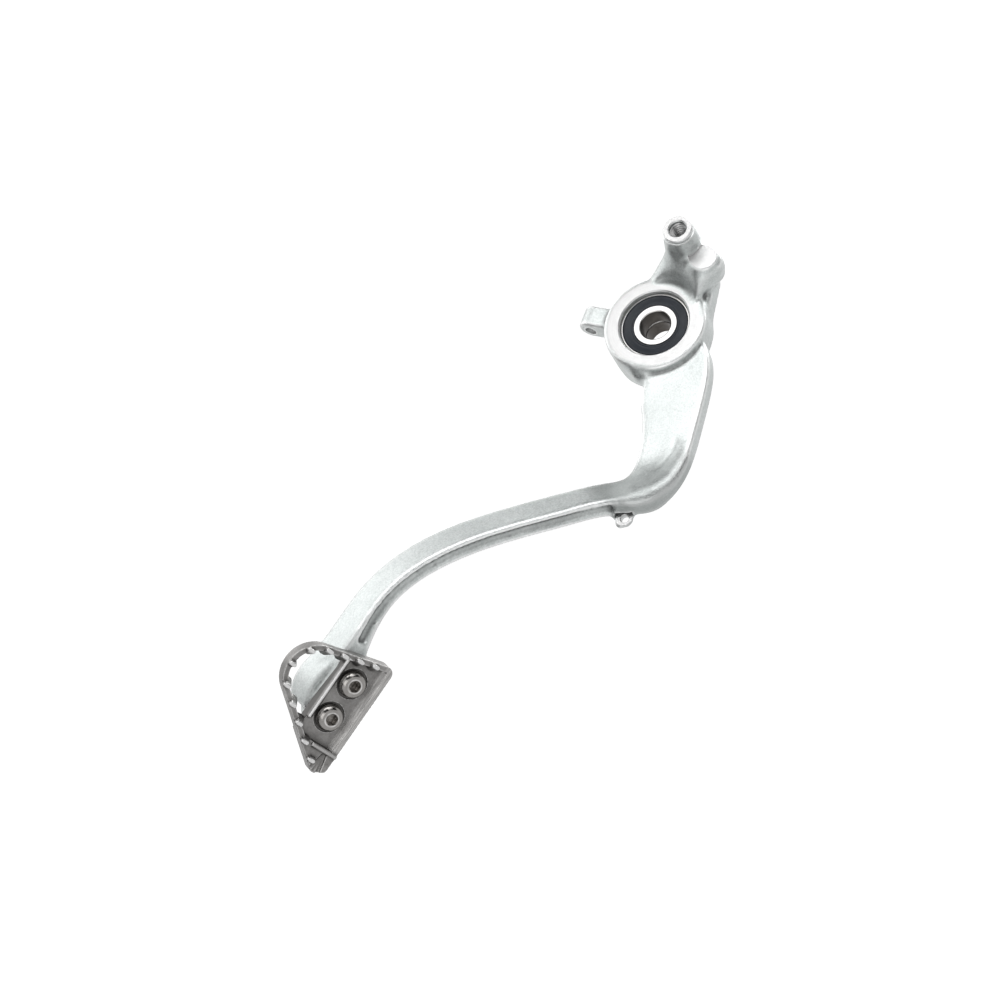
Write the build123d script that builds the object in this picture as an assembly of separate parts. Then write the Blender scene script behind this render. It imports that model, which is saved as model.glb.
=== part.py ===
"""Rear brake pedal: a forged lever on two sealed ball bearings, with a toothed toe tread held by two screws.

Frame, in millimetres: +X forward to the toe, +Y inboard, +Z up. The origin is on the pivot axis, where the
two bearings meet. The pedal sits on the right-hand side of its machine, so outboard is -Y. Sizes whose names
end in OUT are measured outboard from the origin, or from the screw line on the tread.
"""
from build123d import *
import os
from math import cos, radians, sin, sqrt, tan

# Ball bearings, two side by side
BEARING_BORE_RADIUS = 6.0
BEARING_OUTER_RADIUS = 14.0
BEARING_WIDTH = 8.0
INNER_SHOULDER_DROP = 1.5
OUTER_SHOULDER_RISE = 1.9
BALL_RADIUS = 2.38
BALL_COUNT = 8
BALL_PLAY = 0.08
RING_CHAMFER = 0.5
SEAL_LEDGE = 0.8
SEAL_THICKNESS = 0.7
SEAL_SINK = 0.2
SEAL_LIP_PLAY = 0.08
CAGE_WALL = 1.5
CAGE_RIM = 0.45
CAGE_REACH = 1.0
PITCH_RADIUS = (BEARING_BORE_RADIUS + BEARING_OUTER_RADIUS) / 2
INNER_SHOULDER_RADIUS = PITCH_RADIUS - INNER_SHOULDER_DROP
OUTER_SHOULDER_RADIUS = PITCH_RADIUS + OUTER_SHOULDER_RISE
SEAL_SEAT_RADIUS = BEARING_OUTER_RADIUS - SEAL_LEDGE

# Pivot hub, which tapers inboard on its rear and upper side
HUB_WALL = 6.5
HUB_EDGE = 0.8
HUB_TAPER = 2.2
HUB_TAPER_SHIFT = 1.6
HUB_TAPER_OUT = -3.0
BEARING_RECESS = 2.0
BACK_LIP = 2.0
BACK_LIP_HEIGHT = 1.4
HUB_RADIUS = BEARING_OUTER_RADIUS + HUB_WALL
HUB_FACE_OUT = BEARING_WIDTH + BEARING_RECESS
HUB_BACK_OUT = -BEARING_WIDTH - BACK_LIP

# Upper arm, a flat plate that rises from the hub to the knee
PLATE_FACE_OUT = 7.0
PLATE_THICKNESS = 8.5
PLATE_EDGE = 1.5
PLATE_BACK_OUT = PLATE_FACE_OUT - PLATE_THICKNESS
PLATE_MIDDLE_OUT = PLATE_FACE_OUT - PLATE_THICKNESS / 2

# Lower arm, a leaning bar from the knee to the toe, with a channel along its top
BAR_HEIGHT = 13.6
BAR_THICKNESS = 7.4
BAR_EDGE = 1.4
CHANNEL_WIDTH = 4.0
CHANNEL_DEPTH = 1.5
CHANNEL_EDGE = 0.6

# Stations of the upper arm: forward, outboard of the plate's middle, up, then pitch, swing, lean and width
UPPER_STATIONS = [
    (5.0, 0.0, 9.0, 64.0, 0.0, 0.0, 31.0),
    (14.5, 0.0, 27.0, 52.0, 0.0, 0.0, 27.0),
    (26.0, 0.0, 38.2, 40.0, 0.0, 0.0, 21.5),
    (37.2, 0.2, 46.2, 27.0, 4.0, 3.0, 19.2),
    (47.8, 1.0, 49.4, 0.0, 15.0, 12.0, 17.4),
]

# Stations of the lower arm: forward, outboard of the plate's middle, up, then pitch, swing, lean and height
LOWER_STATIONS = [
    (54.0, 2.0, 47.6, -12.0, 18.0, 14.0, 15.6),
    (60.5, 3.3, 42.6, -20.0, 20.0, 15.0, BAR_HEIGHT),
    (75.0, 8.1, 35.8, -21.0, 21.0, 16.0, BAR_HEIGHT),
    (97.0, 15.3, 27.2, -18.0, 18.0, 17.0, BAR_HEIGHT),
    (122.0, 22.3, 20.2, -9.0, 13.0, 17.0, BAR_HEIGHT),
    (147.0, 26.6, 20.0, 8.0, 5.0, 17.0, BAR_HEIGHT),
]

# Rear arm, with the pushrod boss and a lower round pad on its column
BOSS_RADIUS = 5.9
BOSS_TOP_OUT = 30.0
BOSS_X = -29.2
BOSS_Z = -11.3
BOSS_FOOT_FLARE = 2.3
BOSS_FOOT_SHIFT = 1.5
BOSS_HOLE_RADIUS = 3.4
BOSS_HOLE_DEPTH = 18.0
BOSS_HOLE_CHAMFER = 0.5
PAD_RADIUS = 6.0
PAD_TOP_OUT = 20.0
PAD_X = -29.4
PAD_Z = -0.7
WEB_MARGIN = 0.6
WEB_PAD_RADIUS = 2.0
COLUMN_TOP_OUT = 18.0
COLUMN_EDGE = 5.4

# Column levels: height above the plate's back face, then reach in front of and above the boss axis
COLUMN_LEVELS = [
    (4.5, 24.2, 12.3),
    (10.5, 19.2, 16.3),
    (14.5, 13.7, 17.6),
    (19.5, 6.9, 17.6),
]

# Spring eye in front of the hub, with its hole square to the pivot axis
SPRING_EYE_ANGLE = 60.0
SPRING_EYE_OUT = 2.2
SPRING_EYE_REACH = 7.5
SPRING_EYE_RADIUS = 5.0
SPRING_EYE_LENGTH = 9.0
SPRING_EYE_HOLE_RADIUS = 2.3

# Leash eye at the knee, on the inboard flange of the channel, with its hole along the pivot axis
LEASH_EYE_X = 61.1
LEASH_EYE_Z = 52.9
LEASH_EYE_RADIUS = 2.9
LEASH_EYE_HOLE_RADIUS = 1.6
LEASH_EYE_THICKNESS = 2.6
LEASH_EYE_FACE_OUT = 5.2
LEASH_EYE_FOOT = 7.0

# Tread plane: its origin lies on the screw seat, midway between the two screws
TREAD_X = 183.5
TREAD_OUT = 29.7
TREAD_Z = 43.2
TREAD_LEAN = 30.0
TREAD_PITCH = 4.0
TREAD_TURN = 12.5

# Toe tread, with x along the screw line and y inboard in its own plane
TREAD_REAR = 20.5
TREAD_FRONT = 28.0
TREAD_INBOARD = 10.85
TREAD_REAR_RAKE = 12.1
TREAD_FRONT_RAKE = 36.1
TREAD_NOSE_RADIUS = 12.1
TREAD_HEEL_RADIUS = 3.0
TREAD_TIP_RADIUS = 1.8
TREAD_TIP_HEIGHT = 4.6
TREAD_TIP_SLANT = 2.7
TREAD_WALL = 2.2
TREAD_WALL_TOP = 2.2
RIM_SLOPE = 2.0
RING_DEPTH = 2.6
SEAT_THICKNESS = 4.5
BRIDGE_OUT = 7.9

# Teeth in rows from the nose inboard, each narrow on top and broad at its foot, which reaches inward
TOOTH_TOP = 4.4
TOOTH_FOOT = -1.6
TOOTH_TOP_LENGTH = 3.0
TOOTH_TOP_WIDTH = 1.4
TOOTH_FOOT_LENGTH = 4.4
TOOTH_FOOT_WIDTH = 3.4
TOOTH_FOOT_REACH = 1.4
TOOTH_INSET = 1.1
TOOTH_PITCH = 6.3
TOOTH_ROWS = 5
NOSE_ROW_STEP = 3.1

# Front block, solid to the tip, with a ridge across its rear edge and grooves that fan out to the tip
FRONT_BLOCK_X = 17.6
RIDGE_WIDTH = 1.8
RIDGE_HEIGHT = 1.0
RIDGE_OUT = 0.8
GROOVE_RADIUS = 0.9
GROOVE_COUNT = 3
GROOVE_SPREAD = 14.0

# Toe screws, button heads with hexagon sockets
SCREW_SPACING = 14.6
SCREW_RADIUS = 3.0
SCREW_THREAD_PLAY = 0.05
SCREW_HOLE_PLAY = 0.3
SCREW_LENGTH = 14.0
SCREW_TIP_ROOM = 3.0
HEAD_RADIUS = 5.25
HEAD_HEIGHT = 3.3
HEAD_EDGE = 0.5
HEAD_CROWN_RADIUS = 2.7
HEAD_BULGE = 0.55
SOCKET_FLATS = 4.0
SOCKET_DEPTH = 2.1

# Toe pad under the tread, and the arm's end that runs into it
TOE_PAD_END = 9.2
TOE_PAD_WIDTH = 15.0
TOE_PAD_DEPTH = 11.0
TOE_PAD_RADIUS = 6.5
TOE_PAD_DRAFT = 6.0
TOE_PAD_X = -1.0
TOE_PAD_Y = 1.5
TOE_HEIGHT = 15.0
TOE_PAD_LENGTH = SCREW_SPACING + 2 * TOE_PAD_END

# Stations of the arm's end from the tread's origin: forward, outboard, up, pitch, swing, lean, thickness
TOE_STATIONS = [
    (-17.5, -0.1, -17.2, 17.0, -6.0, 18.0, 10.0),
    (-7.0, -2.2, -14.2, 15.0, -8.0, 18.0, 14.5),
    (10.5, -6.4, -8.9, 12.0, -12.0, 18.0, 15.0),
]


def section_plane(forward, out, up, pitch, swing, lean):
    """Plane across the arm: local x is its tall direction and local y points outboard."""
    p = radians(pitch)
    w = radians(swing)
    k = radians(lean)
    along = Vector(cos(p) * cos(w), -cos(p) * sin(w), sin(p))
    upright = Vector(-sin(p) * cos(w), sin(p) * sin(w), cos(p))
    sideways = Vector(-sin(w), -cos(w), 0)
    tall = upright * cos(k) + sideways * sin(k)
    return Plane(origin=(forward, -out, up), x_dir=tall, z_dir=along)


def side_plane(out):
    """Plane square to the pivot axis: local x is forward, local y is up and its normal points outboard."""
    return Plane(origin=(0, -out, 0), x_dir=(1, 0, 0), z_dir=(0, -1, 0))


def tread_plane():
    """Plane of the screw seat: local x runs along the screws, local y inboard and local z outward."""
    lean = radians(TREAD_LEAN)
    pitch = radians(TREAD_PITCH)
    turn = radians(TREAD_TURN)
    normal = Vector(-sin(pitch), -cos(pitch) * sin(lean), cos(pitch) * cos(lean))
    forward = (Vector(1, 0, 0) - normal * normal.X).normalized()
    inboard = normal.cross(forward)
    along = forward * cos(turn) + inboard * sin(turn)
    return Plane(origin=(TREAD_X, -TREAD_OUT, TREAD_Z), x_dir=along, z_dir=normal)


TREAD = tread_plane()


def upper_planes():
    planes = []
    for forward, out, up, pitch, swing, lean, width in UPPER_STATIONS:
        planes.append(section_plane(forward, PLATE_MIDDLE_OUT + out, up, pitch, swing, lean))
    return planes


def lower_planes():
    planes = []
    for forward, out, up, pitch, swing, lean, height in LOWER_STATIONS:
        planes.append(section_plane(forward, PLATE_MIDDLE_OUT + out, up, pitch, swing, lean))
    return planes


def toe_planes():
    planes = []
    for forward, out, up, pitch, swing, lean, thickness in TOE_STATIONS:
        planes.append(section_plane(TREAD_X + forward, TREAD_OUT + out, TREAD_Z + up, pitch, swing, lean))
    return planes


def upper_sections():
    widths = [station[-1] for station in UPPER_STATIONS]
    sections = []
    for plane, width in zip(upper_planes(), widths):
        sections.append(plane * RectangleRounded(width, PLATE_THICKNESS, PLATE_EDGE))
    return sections


def upper_arm():
    return loft(upper_sections())


def lower_arm():
    """Bar from the knee to the toe: it starts on the last section of the upper arm, so that the two join."""
    sections = upper_sections()[-1:]
    heights = [station[-1] for station in LOWER_STATIONS]
    for plane, height in zip(lower_planes(), heights):
        sections.append(plane * RectangleRounded(height, BAR_THICKNESS, BAR_EDGE))
    thicknesses = [station[-1] for station in TOE_STATIONS]
    for plane, thickness in zip(toe_planes(), thicknesses):
        sections.append(plane * RectangleRounded(TOE_HEIGHT, thickness, BAR_EDGE))
    return loft(sections)


def arm_channel():
    """The shallow channel sunk in the top of the lower arm, from the leash eye to the toe."""
    groove = RectangleRounded(2 * CHANNEL_DEPTH, CHANNEL_WIDTH, CHANNEL_EDGE)
    sections = [plane * Pos(BAR_HEIGHT / 2, 0) * groove for plane in lower_planes()[1:]]
    return loft(sections + [toe_planes()[0] * Pos(TOE_HEIGHT / 2, 0) * groove])


def hub():
    """Round hub with a bevelled outboard edge: its inboard end is narrower, and shifted forward and down."""
    face = side_plane(HUB_FACE_OUT) * Circle(HUB_RADIUS - HUB_EDGE)
    bevel = side_plane(HUB_FACE_OUT - HUB_EDGE) * Circle(HUB_RADIUS)
    taper = side_plane(HUB_TAPER_OUT) * Circle(HUB_RADIUS)
    back = Pos(HUB_TAPER_SHIFT, -HUB_TAPER_SHIFT) * Circle(HUB_RADIUS - HUB_TAPER)
    barrel = loft([taper, bevel])
    return barrel + loft([bevel, face]) + loft([side_plane(HUB_BACK_OUT) * back, taper])


def hub_bore():
    """Housing for the two bearings, open outboard, with a lip inboard that stops the inboard bearing."""
    seat = side_plane(-BEARING_WIDTH) * extrude(Circle(BEARING_OUTER_RADIUS), BEARING_WIDTH + HUB_FACE_OUT)
    lip_hole = Circle(BEARING_OUTER_RADIUS - BACK_LIP_HEIGHT)
    return seat + side_plane(HUB_BACK_OUT) * extrude(lip_hole, HUB_FACE_OUT - HUB_BACK_OUT)


def rear_arm():
    """Web behind the hub, a flared column on it, then the pushrod boss and the round pad on the column."""
    boss = Pos(BOSS_X, BOSS_Z)
    pad = Pos(PAD_X, PAD_Z)
    rounds = [Circle(HUB_RADIUS - HUB_EDGE)]
    rounds.append(boss * Circle(BOSS_RADIUS + WEB_MARGIN))
    rounds.append(pad * Circle(WEB_PAD_RADIUS))
    web_outline = make_hull([item.edge() for item in rounds])
    web = side_plane(PLATE_BACK_OUT) * extrude(web_outline, PLATE_THICKNESS)
    sections = []
    for height, front, top in COLUMN_LEVELS:
        back = BOSS_RADIUS + WEB_MARGIN
        centre = boss * Pos((front - back) / 2, (top - back) / 2)
        section = RectangleRounded(front + back, top + back, COLUMN_EDGE)
        sections.append(side_plane(PLATE_BACK_OUT + height) * centre * section)
    pad_disc = extrude(Circle(PAD_RADIUS), PAD_TOP_OUT - PLATE_FACE_OUT)
    round_pad = side_plane(PLATE_FACE_OUT) * pad * pad_disc
    foot = Pos(BOSS_FOOT_SHIFT, 0) * boss * Circle(BOSS_RADIUS + BOSS_FOOT_FLARE)
    top = boss * Circle(BOSS_RADIUS)
    post = loft([side_plane(COLUMN_TOP_OUT - BOSS_RADIUS) * foot, side_plane(BOSS_TOP_OUT) * top])
    return web + loft(sections) + round_pad + post


def boss_hole():
    """Blind tapped hole for the pushrod joint, with a chamfered mouth."""
    place = side_plane(BOSS_TOP_OUT) * Pos(BOSS_X, BOSS_Z)
    hole = place * extrude(Circle(BOSS_HOLE_RADIUS), -BOSS_HOLE_DEPTH)
    mouth = loft([
        place * Circle(BOSS_HOLE_RADIUS + BOSS_HOLE_CHAMFER),
        place * Pos(0, 0, -BOSS_HOLE_CHAMFER) * Circle(BOSS_HOLE_RADIUS),
    ])
    return hole + mouth


def spring_eye_place():
    """Frame at the middle of the spring eye: local x points away from the pivot, local z along the hole."""
    angle = radians(SPRING_EYE_ANGLE)
    away = Vector(cos(angle), 0, -sin(angle))
    along = Vector(sin(angle), 0, cos(angle))
    reach = HUB_RADIUS + SPRING_EYE_REACH
    return Plane(origin=away * reach + Vector(0, -SPRING_EYE_OUT, 0), x_dir=away, z_dir=along)


def spring_eye():
    tongue = SPRING_EYE_REACH + HUB_WALL / 2
    outline = Pos(-tongue / 2, 0) * Rectangle(tongue, 2 * SPRING_EYE_RADIUS)
    outline = outline + Circle(SPRING_EYE_RADIUS)
    return spring_eye_place() * extrude(outline, SPRING_EYE_LENGTH / 2, both=True)


def spring_eye_hole():
    return spring_eye_place() * extrude(Circle(SPRING_EYE_HOLE_RADIUS), SPRING_EYE_LENGTH, both=True)


def leash_eye():
    outline = Pos(0, -LEASH_EYE_FOOT / 2) * Rectangle(2 * LEASH_EYE_RADIUS, LEASH_EYE_FOOT)
    outline = outline + Circle(LEASH_EYE_RADIUS)
    place = side_plane(LEASH_EYE_FACE_OUT) * Pos(LEASH_EYE_X, LEASH_EYE_Z)
    return place * extrude(outline, -LEASH_EYE_THICKNESS)


def leash_eye_hole():
    place = side_plane(LEASH_EYE_FACE_OUT) * Pos(LEASH_EYE_X, LEASH_EYE_Z)
    return place * extrude(Circle(LEASH_EYE_HOLE_RADIUS), LEASH_EYE_THICKNESS, both=True)


def screw_places():
    return [Pos(end * SCREW_SPACING / 2, 0) for end in (-1, 1)]


def toe_pad():
    outline = RectangleRounded(TOE_PAD_LENGTH, TOE_PAD_WIDTH, TOE_PAD_RADIUS)
    outline = Pos(TOE_PAD_X, TOE_PAD_Y) * outline
    return TREAD * Pos(0, 0, -SEAT_THICKNESS) * extrude(outline, -TOE_PAD_DEPTH, taper=TOE_PAD_DRAFT)


def above_toe_pad():
    """Everything above the pad's machined face, over the whole tread."""
    reach = TREAD_REAR + TREAD_FRONT
    return TREAD * Pos(0, 0, -SEAT_THICKNESS) * extrude(Circle(reach), reach)


def toe_pad_holes():
    depth = SCREW_LENGTH - SEAT_THICKNESS + SCREW_TIP_ROOM
    hole = Pos(0, 0, -SEAT_THICKNESS) * extrude(Circle(SCREW_RADIUS + SCREW_THREAD_PLAY), -depth)
    return [TREAD * place * hole for place in screw_places()]


def pedal_lever():
    """One forging: the hub with its arms and eyes, and the lower arm that joins it at the knee section."""
    lower = lower_arm() + toe_pad() - above_toe_pad()
    lower = lower - arm_channel() - toe_pad_holes()
    upper = upper_arm() + hub() + rear_arm() + spring_eye()
    upper = upper - hub_bore() - boss_hole() - spring_eye_hole()
    return upper + lower + leash_eye() - leash_eye_hole()


def tread_apex():
    """Where the straight rear and front edges of the tread would meet, outboard of its round nose."""
    rear_slope = tan(radians(TREAD_REAR_RAKE))
    front_slope = tan(radians(TREAD_FRONT_RAKE))
    run = (TREAD_FRONT + TREAD_REAR + TREAD_TIP_HEIGHT * front_slope) / (rear_slope + front_slope)
    return (-TREAD_REAR + run * rear_slope, TREAD_INBOARD - run)


def tread_outline():
    heel = (-TREAD_REAR, TREAD_INBOARD)
    tip_inner = (TREAD_FRONT - TREAD_TIP_SLANT, TREAD_INBOARD)
    tip_outer = (TREAD_FRONT, TREAD_INBOARD - TREAD_TIP_HEIGHT)
    outline = Polygon(heel, tread_apex(), tip_outer, tip_inner, align=None)
    outline = fillet(outline.vertices().sort_by(Axis.Y)[:1], TREAD_NOSE_RADIUS)
    outline = fillet(outline.vertices().sort_by(Axis.X)[:1], TREAD_HEEL_RADIUS)
    return fillet(outline.vertices().sort_by(Axis.X)[-2:], TREAD_TIP_RADIUS)


def nose_centre():
    """Centre of the round nose, on the line that halves the angle at the apex."""
    half = radians(TREAD_FRONT_RAKE + TREAD_REAR_RAKE) / 2
    skew = radians(TREAD_FRONT_RAKE - TREAD_REAR_RAKE) / 2
    reach = TREAD_NOSE_RADIUS / sin(half)
    x, y = tread_apex()
    return (x + reach * sin(skew), y + reach * cos(skew))


def tooth_places():
    """Place and inward direction of each tooth: one at the nose, then one on each side in every row."""
    nose_x, nose_y = nose_centre()
    ring = TREAD_NOSE_RADIUS - TOOTH_INSET
    places = [(nose_x, nose_y - ring, 0, 1)]
    for row in range(TOOTH_ROWS):
        y = nose_y - ring + NOSE_ROW_STEP + row * TOOTH_PITCH
        for side, rake in ((1, radians(TREAD_REAR_RAKE)), (-1, radians(TREAD_FRONT_RAKE))):
            past_nose = y - nose_y + ring * sin(rake)
            if past_nose > 0:
                x = nose_x - side * (ring * cos(rake) + past_nose * tan(rake))
                places.append((x, y, side * cos(rake), sin(rake)))
            else:
                half = sqrt(ring**2 - (nose_y - y) ** 2)
                places.append((nose_x - side * half, y, side * half / ring, (nose_y - y) / ring))
    return places


def tooth(x, y, inward_x, inward_y):
    """Tapered tooth whose foot reaches inward, so its inner flank slopes more than its outer one."""
    top = Pos(x, y, TOOTH_TOP) * SlotOverall(TOOTH_TOP_LENGTH, TOOTH_TOP_WIDTH, rotation=90)
    foot_place = Pos(x + inward_x * TOOTH_FOOT_REACH, y + inward_y * TOOTH_FOOT_REACH, TOOTH_FOOT)
    return loft([foot_place * SlotOverall(TOOTH_FOOT_LENGTH, TOOTH_FOOT_WIDTH, rotation=90), top])


def front_ridge(outline):
    """Rounded ridge across the rear edge of the front block, from the inboard rim to the front wall."""
    section = Pos(0, TREAD_WALL_TOP) * Circle(RIDGE_WIDTH / 2)
    section = section + Pos(0, TREAD_WALL_TOP / 2) * Rectangle(RIDGE_WIDTH, TREAD_WALL_TOP)
    start = (FRONT_BLOCK_X + RIDGE_WIDTH / 2, TREAD_INBOARD, 0)
    across = Plane(origin=start, x_dir=(1, 0, 0), z_dir=(0, -1, 0))
    ridge = across * extrude(section, TREAD_INBOARD + RIDGE_OUT)
    return ridge & extrude(outline, TREAD_WALL_TOP + RIDGE_HEIGHT)


def front_grooves():
    """Shallow round grooves in the front block, which fan out from behind the ridge to the tip."""
    middle_y = TREAD_INBOARD - TREAD_TIP_HEIGHT
    grooves = []
    for groove in range(GROOVE_COUNT):
        angle = (groove - (GROOVE_COUNT - 1) / 2) * GROOVE_SPREAD
        start = Pos(FRONT_BLOCK_X + RIDGE_WIDTH, middle_y, TREAD_WALL_TOP)
        start = start * Rot(0, 0, angle) * Rot(0, 90, 0)
        grooves.append(start * extrude(Circle(GROOVE_RADIUS), TREAD_FRONT))
    return grooves


def toe_piece():
    """Cast tread: a toothed ring with an open nose, a thicker sunk screw seat and a sloped inboard rim."""
    outline = tread_outline()
    inside = offset(outline, -TREAD_WALL)
    span = 2 * (TREAD_REAR + TREAD_FRONT)
    nose_side = Pos(0, -BRIDGE_OUT - span / 2) * Rectangle(2 * span, span)
    seat_side = Pos(FRONT_BLOCK_X - span / 2, -BRIDGE_OUT + span / 2) * Rectangle(span, span)
    body = Pos(0, 0, -SEAT_THICKNESS) * extrude(outline, SEAT_THICKNESS + TREAD_WALL_TOP)
    opening = extrude(inside & nose_side, SEAT_THICKNESS + TREAD_WALL_TOP)
    body = body - Pos(0, 0, -SEAT_THICKNESS) * opening
    body = body - extrude(inside & seat_side, TREAD_WALL_TOP)
    body = body - Pos(0, 0, -SEAT_THICKNESS) * extrude(nose_side, SEAT_THICKNESS - RING_DEPTH)
    body = body - front_grooves()
    rim_y = TREAD_INBOARD - TREAD_WALL
    slope = Polygon((rim_y, 0), (rim_y, TREAD_WALL_TOP), (rim_y - RIM_SLOPE, 0), align=None)
    rim_plane = Plane(origin=(-TREAD_REAR, 0, 0), x_dir=(0, 1, 0), z_dir=(1, 0, 0))
    rim = rim_plane * extrude(slope, TREAD_REAR + FRONT_BLOCK_X)
    body = body + (rim & extrude(outline, TREAD_WALL_TOP)) + front_ridge(outline)
    for place in tooth_places():
        body = body + tooth(*place)
    for place in screw_places():
        hole = place * Circle(SCREW_RADIUS + SCREW_HOLE_PLAY)
        body = body - extrude(hole, SEAT_THICKNESS, both=True)
    return TREAD * body


def toe_screws():
    """Two button-head screws, seated on the tread and threaded into the toe pad."""
    middle_radius = (HEAD_RADIUS + HEAD_CROWN_RADIUS) / 2 + HEAD_BULGE
    middle_height = (HEAD_EDGE + HEAD_HEIGHT) / 2 + HEAD_BULGE
    middle = (middle_radius, middle_height)
    dome = ThreePointArc((HEAD_RADIUS, HEAD_EDGE), middle, (HEAD_CROWN_RADIUS, HEAD_HEIGHT))
    path = Polyline(
        (HEAD_CROWN_RADIUS, HEAD_HEIGHT),
        (0, HEAD_HEIGHT),
        (0, -SCREW_LENGTH),
        (SCREW_RADIUS, -SCREW_LENGTH),
        (SCREW_RADIUS, 0),
        (HEAD_RADIUS, 0),
        (HEAD_RADIUS, HEAD_EDGE),
    )
    blank = revolve(Plane.XZ * make_face([dome, path]), Axis.Z)
    socket = extrude(RegularPolygon(SOCKET_FLATS / 2, 6, major_radius=False), -SOCKET_DEPTH)
    screw = blank - Pos(0, 0, HEAD_HEIGHT) * socket
    return Compound(children=[TREAD * place * screw for place in screw_places()])


def ring_profile(inner, outer, width):
    """Half section of a ring, with radius along local x and the pivot axis along local y."""
    return Pos((inner + outer) / 2, 0) * Rectangle(outer - inner, width)


def outer_ring():
    seat_depth = SEAL_SINK + SEAL_THICKNESS
    profile = ring_profile(OUTER_SHOULDER_RADIUS, BEARING_OUTER_RADIUS, BEARING_WIDTH)
    profile = chamfer(profile.vertices().group_by(Axis.X)[-1], RING_CHAMFER)
    seat = ring_profile(OUTER_SHOULDER_RADIUS, SEAL_SEAT_RADIUS, seat_depth)
    for end in (-1, 1):
        profile = profile - Pos(0, end * (BEARING_WIDTH - seat_depth) / 2) * seat
    profile = profile - Pos(PITCH_RADIUS, 0) * Circle(BALL_RADIUS + BALL_PLAY)
    return revolve(profile, Axis.Y)


def inner_ring():
    profile = ring_profile(BEARING_BORE_RADIUS, INNER_SHOULDER_RADIUS, BEARING_WIDTH)
    profile = chamfer(profile.vertices().group_by(Axis.X)[0], RING_CHAMFER)
    profile = profile - Pos(PITCH_RADIUS, 0) * Circle(BALL_RADIUS + BALL_PLAY)
    return revolve(profile, Axis.Y)


def ball_places():
    """Evenly spaced round the pitch circle, half a step on from the forward direction."""
    step = 360 / BALL_COUNT
    return [Rot(0, (turn + 1 / 2) * step, 0) * Pos(PITCH_RADIUS, 0, 0) for turn in range(BALL_COUNT)]


def balls(middle):
    return Compound(children=[middle * place * Sphere(BALL_RADIUS) for place in ball_places()])


def cage():
    """Crown cage: a rim beside the balls, with fingers that reach between them."""
    back = BALL_RADIUS + BALL_PLAY + CAGE_RIM
    half_wall = CAGE_WALL / 2
    profile = ring_profile(PITCH_RADIUS - half_wall, PITCH_RADIUS + half_wall, back + CAGE_REACH)
    crown = revolve(Pos(0, (CAGE_REACH - back) / 2) * profile, Axis.Y)
    return crown - [place * Sphere(BALL_RADIUS + BALL_PLAY) for place in ball_places()]


def seal(end):
    """Rubber seal, held in the outer ring, with its lip just clear of the inner ring."""
    profile = ring_profile(INNER_SHOULDER_RADIUS + SEAL_LIP_PLAY, SEAL_SEAT_RADIUS, SEAL_THICKNESS)
    place = Pos(0, end * ((BEARING_WIDTH - SEAL_THICKNESS) / 2 - SEAL_SINK))
    return revolve(place * profile, Axis.Y)


nodes = {
    "pedal_lever": pedal_lever(),
    "toe_piece": toe_piece(),
    "toe_screws": toe_screws(),
}
bearing_middles = {
    "outboard": Pos(0, -BEARING_WIDTH / 2, 0),
    "inboard": Pos(0, BEARING_WIDTH / 2, 0),
}
for side, middle in bearing_middles.items():
    nodes[side + "_outer_ring"] = middle * outer_ring()
    nodes[side + "_inner_ring"] = middle * inner_ring()
    nodes[side + "_balls"] = balls(middle)
    nodes[side + "_cage"] = middle * cage()
    nodes[side + "_outer_seal"] = middle * seal(-1)
    nodes[side + "_inner_seal"] = middle * seal(1)

os.makedirs("parts", exist_ok=True)
for name, shape in nodes.items():
    export_step(shape, "parts/" + name + ".step")
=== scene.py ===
# %% [markdown]
# # A forged rear brake pedal
#
# This lesson dresses a finished CAD model of a brake pedal: an aluminium forging that turns on two sealed ball
# bearings, with a cast steel tread screwed to its toe. The CAD model gives every size and place, and Blender adds
# what a drawing leaves out: the soft edges of a forging, machined faces, cast teeth, grain, wear and studio light.

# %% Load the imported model
import math

import bmesh
import bpy
import numpy as np
from mathutils import Matrix, Vector


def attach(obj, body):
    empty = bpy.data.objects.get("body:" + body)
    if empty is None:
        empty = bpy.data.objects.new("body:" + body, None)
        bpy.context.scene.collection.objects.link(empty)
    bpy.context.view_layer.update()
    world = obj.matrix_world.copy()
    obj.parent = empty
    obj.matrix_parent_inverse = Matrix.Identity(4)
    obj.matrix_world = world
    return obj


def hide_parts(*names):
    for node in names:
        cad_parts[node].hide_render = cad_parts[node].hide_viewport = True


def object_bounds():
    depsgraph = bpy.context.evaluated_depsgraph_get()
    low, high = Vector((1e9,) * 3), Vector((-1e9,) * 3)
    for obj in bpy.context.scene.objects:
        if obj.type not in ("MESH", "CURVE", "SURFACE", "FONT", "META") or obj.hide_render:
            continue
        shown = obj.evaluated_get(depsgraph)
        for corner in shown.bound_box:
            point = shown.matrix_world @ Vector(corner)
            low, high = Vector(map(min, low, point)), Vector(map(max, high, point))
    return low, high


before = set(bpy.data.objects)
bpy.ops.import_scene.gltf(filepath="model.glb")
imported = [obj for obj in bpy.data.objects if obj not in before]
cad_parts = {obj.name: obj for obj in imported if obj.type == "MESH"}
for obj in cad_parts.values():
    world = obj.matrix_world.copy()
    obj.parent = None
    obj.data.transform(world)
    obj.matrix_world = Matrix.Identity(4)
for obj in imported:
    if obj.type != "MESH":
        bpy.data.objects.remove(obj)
cad_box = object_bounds()
MM = 0.001
PIVOT = (0, 0, 0)
FORWARD = (1, 0, 0)
OUTBOARD = (0, -1, 0)
print("CAD nodes:", sorted(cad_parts))
print("CAD box in mm:", [[round(v / MM, 1) for v in corner] for corner in cad_box])

# %% [markdown]
# ## The camera
#
# The photograph looks down on the outboard side of the pedal and is rolled, so that the arm runs from the top right
# to the bottom left. A camera can be aimed with a target object, but a roll is easier to write as three axes: where
# right, up and back point in the pedal's own frame. Together with a place they are the columns of the camera's
# matrix.

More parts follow.
